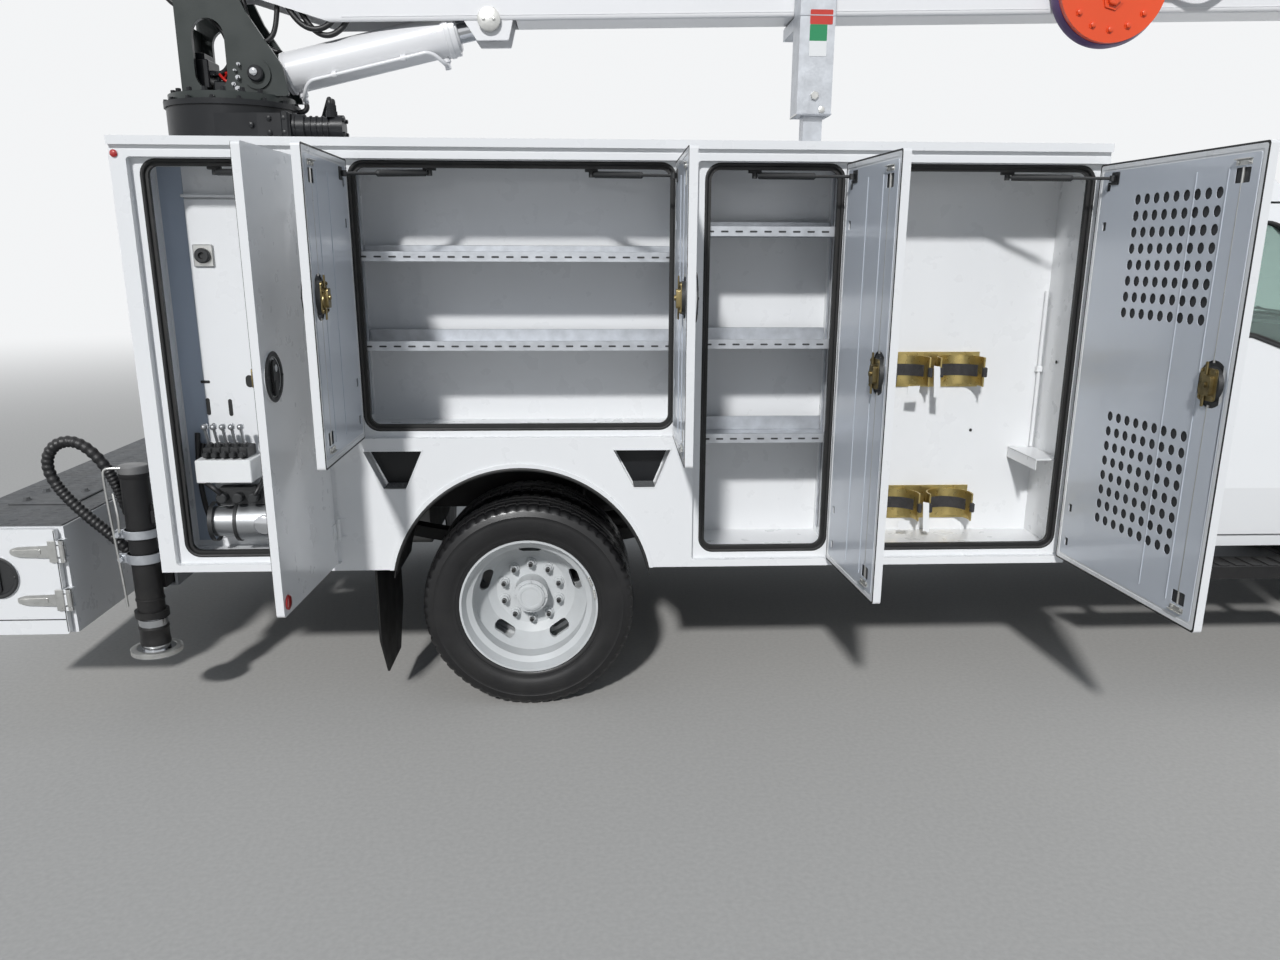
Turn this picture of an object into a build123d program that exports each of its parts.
"""Service crane truck: a two-axle chassis cab with a service body and a crane.

Millimetres. X runs forward from the rear axle, Y to the truck's left from its centreline,
and Z up from the ground. At the end every piece is moved so that the origin lies under the
middle of the truck's length and width.
"""
from build123d import *
import os
from math import cos, hypot, radians, sin

# Chassis
WHEELBASE = 4293
AXLE_Z = 398
RAIL_OUT = 432
RAIL_FLANGE = 75
RAIL_WALL = 9
RAIL_Z = (620, 850)
RAIL_AHEAD = 787
CROSS_W = 90
CROSS_DROP = (30, 60)
SPRING_Y = 530
SPRING_W = 75
SPRING_H = 50
SPRING_REACH = 640
SPRING_SAG = 90
SPRING_DROP = 10
RUN_GAP = 0.3

# Axles, king pins and hubs
AXLE_R = 62
BOWL_R = 170
SHAFT_R = 45
SEAT_HALF = (90, 45)
BEAM_HALF = 45
BEAM_Z = (-90, -10)
KINGPIN_Y = 850
KINGPIN_R = 18
KINGPIN_HALF = 120
BOSS_R = 34
BOSS_HALF = 50
YOKE_HALF = 40
YOKE_Z = (56, 120)
YOKE_Y = (-30, 41, 72)
STEER_ARM = (-190, -30)

# Wheels and tyres
TYRE_R = 398
TYRE_W = 226
BEAD_R = 256
RIM_R = 260
RIM_T = 8
DISC_OFFSET = 127
DISC_T = 11
HAND_HOLE_PCR = 182
HAND_HOLE = (88, 36)
HUB_R = 66
HUB_BORE = 40
STUD_PCR = 112.5
STUDS = 10
NUT_R = 14
FRONT_Y = 950
DUAL_Y = (783, 1037)

# Service body
CAB_BEHIND = 2158
BODY_GAP = 130
BODY_BACK = -1307
BODY_X = (BODY_BACK, WHEELBASE - CAB_BEHIND - BODY_GAP)
BODY_Y = 1194
BED_Y = 790
BODY_Z = (569, 2040)
NECK_Z = (1998, 2013)
NECK_IN = 5
CAP_OUT = 12
FACE_T = 57
POCKET_D = 30
POCKET_R = 12
WALL = 30
SKIN = 12
DOOR_T = 25
DOOR_GAP = 5
DOOR_LAP = 36
DOOR_R = 10
PAN_EDGE = 48
PAN_D = 5
LATCH_R = 74
LATCH_OUT = 4
LATCH_CUP = 58
LATCH_BOX = 12
LATCH_UP = 40
HINGE_OUT = 10
HINGE_R = 8
PIN_R = 5
HINGE_L = 50
EAR_T = 14
HINGE_INSET = 130
BED_Z = 1000
BED_T = 12
ARCH_R = 475
ARCH_AT = (-15, 470)
ARCH_LIP = 14
LIP_OUT = 6
CORNER_R = 45

# Tread pockets beside the wheel arch: outline in side view, wall and depth
STEP_POCKETS = (
    ((-568, 1011), (-353, 1011), (-418, 866), (-500, 866)),
    ((314, 1011), (528, 1011), (469, 866), (390, 866)),
)
STEP_DEPTH = 88
STEP_WALL = 6

# Compartments: opening's limits in X, its sill, and the back wall's Y
SILL = 625
HEAD = 1965
HIGH_SILL = 1082
POST_W = 40
RIGHT_BAYS = {
    # name: (x0, x1, sill, back wall)
    "rear": (-1218, -701, SILL, 966),
    "wheel": (-548, 529, HIGH_SILL, 820),
    "middle": (641, 1100, SILL, 806),
    "front": (1209, BODY_X[1] - POST_W, SILL, 826),
}
LEFT_BAYS = {
    "rear": (-1218, -701, SILL, 806),
    "wheel": (-548, 529, HIGH_SILL, 806),
    "front": (641, BODY_X[1] - POST_W, SILL, 806),
}
BAY_LAP = 38

# Side doors: name, bay, hinge side (+1 = front edge), share of the bay's width, open angle
RIGHT_DOORS = (
    ("side_door_right_rear", "rear", 1, 0, 87.2),
    ("side_door_right_wheel_rear", "wheel", -1, -1, 89.7),
    ("side_door_right_wheel_front", "wheel", 1, 1, 89.0),
    ("side_door_right_middle", "middle", 1, 0, 93.7),
    ("side_door_right_front", "front", 1, 0, 93.6),
)
LEFT_DOORS = (
    ("side_door_left_rear", "rear", -1, 0, 0),
    ("side_door_left_wheel", "wheel", -1, 0, 0),
    ("side_door_left_front_a", "front", -1, -1, 0),
    ("side_door_left_front_b", "front", 1, 1, 0),
)
PEDESTAL_X = (-1235, -825)
PEDESTAL_Y = (-955, -565)
PEDESTAL_GAP = 8
POCKET_TOP = 12
POCKET_FOOT = 30
HEADBOARD_T = 40
HEADBOARD_Z = 1700
BED_SILLS = (-400, 100, 600, 1100, 1600)

# Shelves of the right side: bay, height of each shelf
SHELF_Z = {"wheel": (1353, 1655), "middle": (1021, 1359, 1742)}
SHELF_T = 3
SHELF_LIP = 28
SHELF_BACK = 10

# Valve bank and pump of the rear compartment, and the gas bottle clamps
VALVE_X = (-1178, -985)
VALVE_Z = (880, 960)
VALVE_OUT = 144
LEVERS = 5
LEVER_H = 70
PUMP_Z = 722
PUMP_R = 70
PUMP_X = (-1150, -900)
CLAMP_Z = (722, 1250)
CLAMP_X = (1440, 1650)
CLAMP_R = 90
CLAMP_REACH = 115
CLAMP_T = 6
CLAMP_H = 110

# Mud flaps, as a plate across the truck behind each pair of wheels
FLAP_X = (-560, -552)
FLAP_Y = (680, 1150)
FLAP_Z = (110, 660)

# Tailgate, hinged at its foot
GATE_Y = (PEDESTAL_Y[1] + 20, BED_Y - 6)
GATE_Z = (1016, 1450)
GATE_T = 40
GATE_PIN = (BODY_X[0] - 10, 1004)
GATE_HINGE_IN = 150

# Crane, in side view as (X, Z)
CRANE_X = -1030
CRANE_Y = -760
RING_R = 225
RING_Z = (2045, 2183)
RING_FLANGE = (7, 18)
WORM_OUT = 190
WORM_Z = (2055, 2135)
WORM_HALF = (95, 55)
MOTOR_R = 34
MOTOR_X = (-771, -600)
HEEL = (-1130, 2600)
HEEL_R = 32
LIFT_FOOT = (-905, 2275)
LIFT_PIN_R = 25
LIFT_EYE = (-100, 2462)
BOOM_TILT = 1.33
BOOM_LOW = -165
BOOM_HIGH = 55
BOOM_W = 176
BOOM_WALL = 8
BOOM_ROUND = 14
BOOM_BOX = (1120, 4300)
BOOM_PAD = 6
EXT_START = 1250
EXT_OUT = 80
SHEAVE_R = 62
DRUM_R = 75
DRUM_FLANGE = 115
BARREL_R = 70
BARREL_L = 700
ROD_R = 38
TURRET_R = 215
TURRET_T = 20
TURRET_GAP = 5
TURRET_BOSS = 8

# Post that carries the stowed boom, and the hook block beside it
POST_X = (998, 1065)
SLEEVE_X = (968, 1089)
SLEEVE_W = 121
SLEEVE_FOOT = 2147
SADDLE_H = 40
SADDLE_PAD = 6
HOOK_AT = (2075, 2592)
HOOK_R = 192
HOOK_T = 60
HOOK_PIN = (2075, 2540)

# Outriggers and rear bumper
OUT_X = (-1450, -1310)
OUT_Z = (478, 618)
OUT_WALL = 10
LEG_Y = 1150
LEG_R = 48
LEG_Z = (400, 930)
CLAMP_RING = ((693, 724), (600, 635), (392, 415))
CLAMP_RING_OUT = 8
FOOT_R = 88
FOOT_Z = 250
FOOT_T = 18
SOCKET_R = 50
SOCKET_TOP = 384
BUMPER_X = (-2090, -1630)
BUMPER_Z = (347, 744)
BUMPER_T = 20
BUMPER_ROUND = 12
LAMP_Y = (1060, 930, 800)
LAMP_R = 52
VISE_Y = -760
VISE_HOLES = 150
VISE_HOLE_R = 7
STRAP_Z = (482, 662)
STRAP_L = 170
BUMPER_PIN = (BUMPER_X[1] + 2, -BODY_Y - HINGE_OUT - DOOR_T)
PADDLE_X = -1871

# Cab: places along the truck are measured from the front axle
CAB_BACK = WHEELBASE - CAB_BEHIND
ROCKER_Z = 560
CREASE_Z = 805
BELT_Z = 1380
ROOF_Z = 2020
CAB_HALF = 1000
ROOF_HALF = 840
CAB_WALL = 50
DOOR_SEAM = 8
FLOOR_Z = 910
UNDERSIDE_Z = 880
SILL_IN = 760
GLASS_IN = 18
GLASS_T = 6
COWL_X = -853
CAB_DOOR_PIVOT = (WHEELBASE - 909, CAB_HALF + 2)
HOOD_PIVOT = (WHEELBASE - 613, 1318)
HOOD_HINGE_Y = 580
HOOD_HALF = 640
HOOD_CROWN = 24
HOOD_T = 12
NOSE_X = 727
FENDER_Y = (646, CAB_HALF + 10)
FENDER_T = 25
FENDER_ROUND = 60
FENDER_FOOT = 620
FENDER_TOPS = ((-845, 1338), (7, 1300), (667, 1215), (NOSE_X, 1185))
FLARE_R = (480, 520)
FLARE_OUT = 30
GRILLE_HALF = 560
GRILLE_Z = (RAIL_Z[1] + RUN_GAP, 1190)
GRILLE_BARS = (935, 1010, 1085)
LAMP_GAP = 0.3
BUMPER_NOSE = WHEELBASE + 973
BUMPER_FRONT_Z = (480, 830)
MIRROR_OUT = CAB_HALF + 250
MIRROR_ARM_Z = (1352, 1408)
HANDLE_Z = 1178
CAB_HINGE_Z = (725, 1175)
SEAT_Y = (130, 680)
STEER_Y = 420
STEER_R = 190
MUFFLER_X = (1700, 2400)
MUFFLER_Y = 600
MUFFLER_Z = 600
MUFFLER_R = 95
PIPE_R = 32
BOARD_Y = (930, CAB_HALF + 75)
BOARD_Z = (456, 506)
DOOR_FIRST = (-1963, 610)

# Places that follow from the sizes above
RAIL_X = (BUMPER_X[1] + RUN_GAP, WHEELBASE + RAIL_AHEAD)
CROSS_X = (-1560, -1100, -560, 640, 1560, CAB_BACK + 365, WHEELBASE - 793, WHEELBASE + 587)
SPRING_TOP = RAIL_Z[0] - SPRING_DROP
SPRING_SEAT = SPRING_TOP - SPRING_SAG - SPRING_H


def block(x, y, z, mode=Mode.ADD):
    """A box given by its limits along each axis."""
    with Locations((sum(x) / 2, sum(y) / 2, sum(z) / 2)):
        Box(abs(x[1] - x[0]), abs(y[1] - y[0]), abs(z[1] - z[0]), mode=mode)


def bar(start, end, radius, mode=Mode.ADD):
    """A round bar from one point to another."""
    run = Vector(*end) - Vector(*start)
    with Locations(Plane(origin=start, z_dir=run).location):
        Cylinder(radius, run.length, align=(Align.CENTER, Align.CENTER, Align.MIN), mode=mode)


def bar_y(x, z, y, radius, mode=Mode.ADD):
    """A round bar across the truck."""
    bar((x, y[0], z), (x, y[1], z), radius, mode)


def post(x, y, z, radius, mode=Mode.ADD):
    """An upright round bar."""
    bar((x, y, z[0]), (x, y, z[1]), radius, mode)


def face_of(plane, points, radius):
    """A polygon on a plane, with its corners rounded."""
    with BuildSketch(plane) as face:
        with BuildLine():
            Polyline(*points, close=True)
        make_face()
        if radius:
            fillet(face.vertices(), radius)
    return face.sketch


def side_plane(y):
    """The plane of a side view at a place across the truck."""
    return Plane(origin=(0, y, 0), x_dir=(1, 0, 0), z_dir=(0, -1, 0))


def side_plate(points, y, radius=0, mode=Mode.ADD):
    """A plate with its outline in side view, between two places across the truck."""
    low, high = min(y), max(y)
    extrude(face_of(side_plane(high), points, radius), amount=high - low, mode=mode)


def plan_plate(points, z, radius=0, mode=Mode.ADD):
    """A plate with its outline seen from above, between two heights."""
    extrude(face_of(Plane.XY.offset(z[0]), points, radius), amount=z[1] - z[0], mode=mode)


def end_plate(points, x, radius=0, mode=Mode.ADD):
    """A plate with its outline seen along the truck, between two places along it."""
    plane = Plane(origin=(x[0], 0, 0), x_dir=(0, 1, 0), z_dir=(1, 0, 0))
    extrude(face_of(plane, points, radius), amount=x[1] - x[0], mode=mode)


def rectangle(x, z):
    """The corners of a rectangle."""
    return [(x[0], z[0]), (x[1], z[0]), (x[1], z[1]), (x[0], z[1])]


def ahead(points):
    """Points of a view measured from the front axle, moved to their place along the truck."""
    return [(WHEELBASE + x, other) for x, other in points]


def both(side, y):
    """A pair of places across the truck on one side of it."""
    return side * y[0], side * y[1]


def turned(part, pivot, axis, angle):
    """A part turned about a line through a point."""
    return part.rotate(Axis(pivot, axis), angle)


# Overall place of the origin
FRONT_DOOR = next(door for door in RIGHT_DOORS if door[0] == "side_door_right_front")
FRONT_BAY = RIGHT_BAYS["front"]
DOOR_REACH = FRONT_BAY[1] - FRONT_BAY[0] + 2 * DOOR_LAP - DOOR_GAP
OPEN_EDGE = BODY_Y + 2 * HINGE_OUT + DOOR_REACH * cos(radians(FRONT_DOOR[4] - 90))
ORIGIN = ((BUMPER_X[0] + BUMPER_NOSE) / 2, (MIRROR_OUT - OPEN_EDGE) / 2, 0)


def keep(name, part):
    """Moves a finished piece to the common origin and writes it."""
    placed = part.moved(Location((-ORIGIN[0], -ORIGIN[1], -ORIGIN[2])))
    placed.label = name
    export_step(placed, f"parts/{name}.step")


os.makedirs("parts", exist_ok=True)

# Frame: two channel rails, their cross members, the leaf springs and the running boards
def spring(x):
    """One pair of leaf springs: shallow arcs hung from a bracket at each end."""
    low = SPRING_TOP - SPRING_H
    for side in (-1, 1):
        y = (side * SPRING_Y - SPRING_W / 2, side * SPRING_Y + SPRING_W / 2)
        with BuildSketch(side_plane(y[1])) as leaf:
            with BuildLine():
                ThreePointArc((x - SPRING_REACH, SPRING_TOP), (x, SPRING_TOP - SPRING_SAG),
                              (x + SPRING_REACH, SPRING_TOP))
                Line((x + SPRING_REACH, SPRING_TOP), (x + SPRING_REACH, low))
                ThreePointArc((x + SPRING_REACH, low), (x, low - SPRING_SAG), (x - SPRING_REACH, low))
                Line((x - SPRING_REACH, low), (x - SPRING_REACH, SPRING_TOP))
            make_face()
        extrude(leaf.sketch, amount=SPRING_W)
        for end in (-1, 1):
            hanger = (x + end * SPRING_REACH - 30, x + end * SPRING_REACH + 30)
            across = both(side, (RAIL_OUT - RAIL_WALL, SPRING_Y + SPRING_W / 2))
            block(hanger, across, (low, RAIL_Z[1] - 60))


def running_board(side):
    """A board below the cab door on two brackets from the rail."""
    board = (CAB_BACK + 200, CAB_BACK + 1265)
    block(board, both(side, BOARD_Y), BOARD_Z)
    for x in (board[0] + 180, board[1] - 180):
        across = (x - 25, x + 25)
        block(across, both(side, (RAIL_OUT - 1, RAIL_OUT + RAIL_WALL)), (BOARD_Z[0] - 16, RAIL_Z[0] + 60))
        block(across, both(side, (RAIL_OUT, BOARD_Y[1] - 40)), (BOARD_Z[0] - 16, BOARD_Z[0] + 1))


with BuildPart() as frame:
    for side in (-1, 1):
        flange = both(side, (RAIL_OUT - RAIL_FLANGE, RAIL_OUT))
        block(RAIL_X, both(side, (RAIL_OUT - RAIL_WALL, RAIL_OUT)), RAIL_Z)
        block(RAIL_X, flange, (RAIL_Z[0], RAIL_Z[0] + RAIL_WALL))
        block(RAIL_X, flange, (RAIL_Z[1] - RAIL_WALL, RAIL_Z[1]))
        running_board(side)
    for x in CROSS_X:
        block((x - CROSS_W / 2, x + CROSS_W / 2), (1 - RAIL_OUT, RAIL_OUT - 1),
              (RAIL_Z[0] + CROSS_DROP[0], RAIL_Z[1] - CROSS_DROP[1]))
    spring(0)
    spring(WHEELBASE)
keep("frame", frame.part)

# Axles: the driven rear axle with its bowl and shaft, and the forged front beam
with BuildPart() as axles:
    end_y = DUAL_Y[0] - 30
    bar_y(0, AXLE_Z, (-end_y, end_y), AXLE_R)
    with Locations((0, 0, AXLE_Z)):
        Sphere(BOWL_R)
    bar((0, 0, AXLE_Z + 30), (CAB_BACK + 315, 0, AXLE_Z + 160), SHAFT_R)
    for side in (-1, 1):
        seat_y = both(side, (SPRING_Y - SEAT_HALF[1], SPRING_Y + SEAT_HALF[1]))
        pin_y = side * KINGPIN_Y
        bar_y(0, AXLE_Z, both(side, (end_y - 1, sum(DUAL_Y) / 2 + 40)), HUB_BORE - RUN_GAP)
        block((-SEAT_HALF[0], SEAT_HALF[0]), seat_y, (AXLE_Z, SPRING_SEAT))
        front = (WHEELBASE - BEAM_HALF, WHEELBASE + BEAM_HALF)
        block(front, both(side, (0, KINGPIN_Y - 60)), (AXLE_Z + BEAM_Z[0], AXLE_Z + BEAM_Z[1]))
        block(front, both(side, (KINGPIN_Y - 90, KINGPIN_Y - 15)), (AXLE_Z - BOSS_HALF, AXLE_Z + BOSS_HALF))
        post(WHEELBASE, pin_y, (AXLE_Z - BOSS_HALF, AXLE_Z + BOSS_HALF), BOSS_R)
        post(WHEELBASE, pin_y, (AXLE_Z - KINGPIN_HALF, AXLE_Z + KINGPIN_HALF), KINGPIN_R)
        block((WHEELBASE - SEAT_HALF[0], WHEELBASE + SEAT_HALF[0]), seat_y, (AXLE_Z - BOSS_HALF, SPRING_SEAT))
keep("axles", axles.part)

# Wheels and tyres: half sections as (place across the tyre, radius)
SIDE = TYRE_W / 2
TYRE_SECTION = ((-89, BEAD_R + RUN_GAP), (-92.5, RIM_R + 0.5), (-99, RIM_R + 3), (-105, 285), (-SIDE, 330),
                (-106, 375), (-88, 394), (-60, TYRE_R), (60, TYRE_R), (88, 394), (106, 375), (SIDE, 330),
                (105, 285), (99, RIM_R + 3), (92.5, RIM_R + 0.5), (89, BEAD_R + RUN_GAP))
RIM_SECTION = ((-98, RIM_R), (-93, RIM_R), (-90, BEAD_R), (-40, 246), (-25, 226), (40, 226), (55, 246),
               (90, BEAD_R), (93, RIM_R), (98, RIM_R), (98, RIM_R - RIM_T), (58, 246 - RIM_T),
               (43, 226 - RIM_T), (-28, 226 - RIM_T), (-43, 246 - RIM_T), (-98, RIM_R - RIM_T))
DISC_SECTION = ((-DISC_OFFSET, 58), (-DISC_OFFSET, 142), (-106, 176), (-42, 226), (-24, 224), (-95, 170),
                (DISC_T - DISC_OFFSET, 138), (DISC_T - DISC_OFFSET, 58))


def ring(points, x, y, flip=1):
    """A ring turned about an axle, from its section; flip mirrors the section across the tyre."""
    plane = Plane(origin=(x, y, AXLE_Z), x_dir=(0, 1, 0), z_dir=(1, 0, 0))
    section = face_of(plane, [(flip * across, radius) for across, radius in points], 0)
    revolve(section, axis=Axis((x, y, AXLE_Z), (0, 1, 0)), revolution_arc=360)


def wheel(x, y, outward, side):
    """One pressed steel wheel; outward is +1 where its disc bulges away from the truck."""
    toward = side * outward
    ring(RIM_SECTION, x, y, -toward)
    ring(DISC_SECTION, x, y, -toward)
    disc = y + toward * DISC_OFFSET
    with BuildSketch(Plane(origin=(x, disc, AXLE_Z), x_dir=(1, 0, 0), z_dir=(0, -1, 0))) as holes:
        with PolarLocations(HAND_HOLE_PCR, 5, start_angle=18):
            SlotOverall(*HAND_HOLE, rotation=90)
    extrude(holes.sketch, amount=DISC_OFFSET, both=True, mode=Mode.SUBTRACT)
    return disc


def tyre(x, y):
    """One tyre."""
    ring(TYRE_SECTION, x, y)


def hub(x, disc, side, spindle, reach):
    """A hub through the wheel's centre hole, with its nuts; spindle is its bore's inner end."""
    bar_y(x, AXLE_Z, (disc - side * 60, disc + side * reach), HUB_R)
    bar_y(x, AXLE_Z, (disc + side * (reach - 1), disc + side * (reach + 14)), HUB_R - 12)
    bar_y(x, AXLE_Z, (disc - side * 30, disc), 140)
    for turn in range(STUDS):
        angle = radians(360 / STUDS * (turn + 0.5))
        place = (x + STUD_PCR * cos(angle), AXLE_Z + STUD_PCR * sin(angle))
        bar_y(*place, (disc - side * 8, disc + side * 26), NUT_R)
        bar_y(*place, (disc, disc + side * 42), NUT_R - 5)
    bar_y(x, AXLE_Z, (spindle, disc + side * 45), HUB_BORE, mode=Mode.SUBTRACT)


for side, hand in ((-1, "right"), (1, "left")):
    with BuildPart() as rear_wheels:
        wheel(0, side * DUAL_Y[0], 1, side)
        flange = wheel(0, side * DUAL_Y[1], -1, side)
        hub(0, flange + side * DISC_T, side, side * (DUAL_Y[0] - 40), 84)
    keep(f"rear_wheels_{hand}", rear_wheels.part)
    with BuildPart() as rear_tyres:
        tyre(0, side * DUAL_Y[0])
        tyre(0, side * DUAL_Y[1])
    keep(f"rear_tyres_{hand}", rear_tyres.part)
    with BuildPart() as front_wheel:
        flange = wheel(WHEELBASE, side * FRONT_Y, 1, side)
        hub(WHEELBASE, flange, side, side * KINGPIN_Y, 48)
    keep(f"front_wheel_{hand}", front_wheel.part)
    with BuildPart() as front_tyre:
        tyre(WHEELBASE, side * FRONT_Y)
    keep(f"front_tyre_{hand}", front_tyre.part)
    with BuildPart() as knuckle:
        yoke = (WHEELBASE - YOKE_HALF, WHEELBASE + YOKE_HALF)
        arm_y, plate_y = both(side, (KINGPIN_Y + YOKE_Y[0], KINGPIN_Y + YOKE_Y[2])), KINGPIN_Y + YOKE_Y[1]
        block(yoke, arm_y, (AXLE_Z + YOKE_Z[0], AXLE_Z + YOKE_Z[1]))
        block(yoke, arm_y, (AXLE_Z - YOKE_Z[1], AXLE_Z - YOKE_Z[0]))
        block(yoke, (side * plate_y, arm_y[1]), (AXLE_Z - YOKE_Z[1], AXLE_Z + YOKE_Z[1]))
        bar_y(WHEELBASE, AXLE_Z, (side * (plate_y + 19), side * (FRONT_Y + DISC_OFFSET + 36)),
              HUB_BORE - RUN_GAP)
        post(WHEELBASE, side * KINGPIN_Y, (AXLE_Z - KINGPIN_HALF - 10, AXLE_Z + KINGPIN_HALF + 10),
             KINGPIN_R + RUN_GAP, mode=Mode.SUBTRACT)
        arm_x = (WHEELBASE + STEER_ARM[0], WHEELBASE + STEER_ARM[1])
        block(arm_x, both(side, (KINGPIN_Y - 20, KINGPIN_Y + 5)),
              (AXLE_Z - YOKE_Z[1], AXLE_Z - YOKE_Z[1] + 24))
    keep(f"knuckle_{hand}", knuckle.part)


# Service body: two side packs and the bed between them
def pocket_of(bay):
    """The door pocket round a bay: its limits in X and Z."""
    x0, x1, sill, _ = bay
    return (x0 - DOOR_LAP, x1 + DOOR_LAP), (sill - POCKET_FOOT, HEAD + POCKET_TOP)


def hinge_of(bay, edge):
    """The X of a door's hinge line at the front (+1) or rear (-1) edge of its pocket."""
    return pocket_of(bay)[0][1 if edge > 0 else 0]


def hinge_heights(bay):
    """The heights of a door's two hinges."""
    low, high = pocket_of(bay)[1]
    return low + HINGE_INSET, high - HINGE_INSET


def grown_face(plane, points, grow):
    """A polygon on a plane, grown on every side."""
    with BuildSketch(plane) as face:
        add(face_of(plane, points, 0))
        offset(amount=grow, kind=Kind.INTERSECTION)
    return face.sketch


def arch_ring(y, inner, outer):
    """A half ring over the wheels, down to the body's lower edge."""
    with BuildSketch(side_plane(max(y))) as half_ring:
        with Locations(ARCH_AT):
            Circle(outer)
            Circle(inner, mode=Mode.SUBTRACT)
        with Locations((ARCH_AT[0], BODY_Z[0] - outer)):
            Rectangle(3 * outer, 2 * outer, mode=Mode.SUBTRACT)
    extrude(half_ring.sketch, amount=max(y) - min(y))


def side_pack(side, bays, doors):
    """One side pack, hollowed for its compartments, open over the wheels, with its hinge pins."""
    face, back = side * BODY_Y, side * BED_Y
    block(BODY_X, (back, face), (BODY_Z[0], NECK_Z[0]))
    block(BODY_X, (back, side * (BODY_Y - NECK_IN)), (NECK_Z[0] - 1, NECK_Z[1] + 1))
    block(BODY_X, (back, side * (BODY_Y + CAP_OUT)), (NECK_Z[1], BODY_Z[1]))
    for x0, x1, sill, wall in bays.values():
        pocket = pocket_of((x0, x1, sill, wall))
        side_plate(rectangle(*pocket), (face, side * (BODY_Y - POCKET_D)), POCKET_R, Mode.SUBTRACT)
        side_plate(rectangle((x0, x1), (sill, HEAD)), (face, side * (BODY_Y - FACE_T - 1)), CORNER_R,
                   Mode.SUBTRACT)
        block((x0 - BAY_LAP, x1 + BAY_LAP), (side * (BODY_Y - FACE_T), side * wall), (sill - 20, HEAD + 20),
              Mode.SUBTRACT)
    # The wheel house: the hollow behind the face, the step pockets, the arch and its liner
    x0, x1, _, _ = bays["wheel"]
    inside = side * (BODY_Y - WALL)
    block((x0 - BAY_LAP, x1 + BAY_LAP), (inside, back), (BODY_Z[0], HIGH_SILL - 40), Mode.SUBTRACT)
    for points in STEP_POCKETS:
        deep = both(side, (BODY_Y - WALL + 1, BODY_Y - STEP_DEPTH - STEP_WALL))
        shell = grown_face(side_plane(max(deep)), points, STEP_WALL)
        extrude(shell, amount=max(deep) - min(deep))
        side_plate(points, both(side, (BODY_Y + 1, BODY_Y - STEP_DEPTH)), 0, Mode.SUBTRACT)
    bar_y(*ARCH_AT, both(side, (BODY_Y + 20, BED_Y - 20)), ARCH_R, Mode.SUBTRACT)
    arch_ring(both(side, (BED_Y, BODY_Y - WALL + 1)), ARCH_R, ARCH_R + SKIN)
    arch_ring(both(side, (BODY_Y - 1, BODY_Y + LIP_OUT)), ARCH_R, ARCH_R + ARCH_LIP)
    for _, bay, edge, _, _ in doors:
        x, axis_y = hinge_of(bays[bay], edge), side * (BODY_Y + HINGE_OUT)
        for z in hinge_heights(bays[bay]):
            post(x, axis_y, (z - HINGE_L / 2 - EAR_T - 1, z + HINGE_L / 2 + EAR_T + 1), PIN_R)
            for end in (-1, 1):
                ear = sorted((z + end * (HINGE_L / 2 + 1), z + end * (HINGE_L / 2 + EAR_T + 1)))
                block((x, x + edge * 25), (face, side * (BODY_Y + 4)), ear)
                post(x, axis_y, ear, HINGE_R)


with BuildPart() as body_right:
    side_pack(-1, RIGHT_BAYS, RIGHT_DOORS)
    block((BODY_X[0] - 1, PEDESTAL_X[1] + PEDESTAL_GAP), (PEDESTAL_Y[0] - PEDESTAL_GAP, 1 - BED_Y),
          (BODY_Z[0] - 1, BODY_Z[1] + 1), Mode.SUBTRACT)
keep("body_right", body_right.part)

with BuildPart() as body_left:
    side_pack(1, LEFT_BAYS, LEFT_DOORS)
keep("body_left", body_left.part)

with BuildPart() as bed:
    block(BODY_X, (-BED_Y, BED_Y), (BED_Z - BED_T, BED_Z))
    block((BODY_X[1] - HEADBOARD_T, BODY_X[1]), (-BED_Y, BED_Y), (BED_Z, HEADBOARD_Z))
    for x in (*BED_SILLS, BODY_X[1] - 45):
        block((x - 40, x + 40), (-BED_Y, BED_Y), (RAIL_Z[1], BED_Z - BED_T + 1))
    block((BODY_X[0] - 1, PEDESTAL_X[1] + PEDESTAL_GAP), (-BED_Y - 1, PEDESTAL_Y[1] + PEDESTAL_GAP),
          (0, BED_Z + 1), Mode.SUBTRACT)
keep("bed", bed.part)


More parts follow.
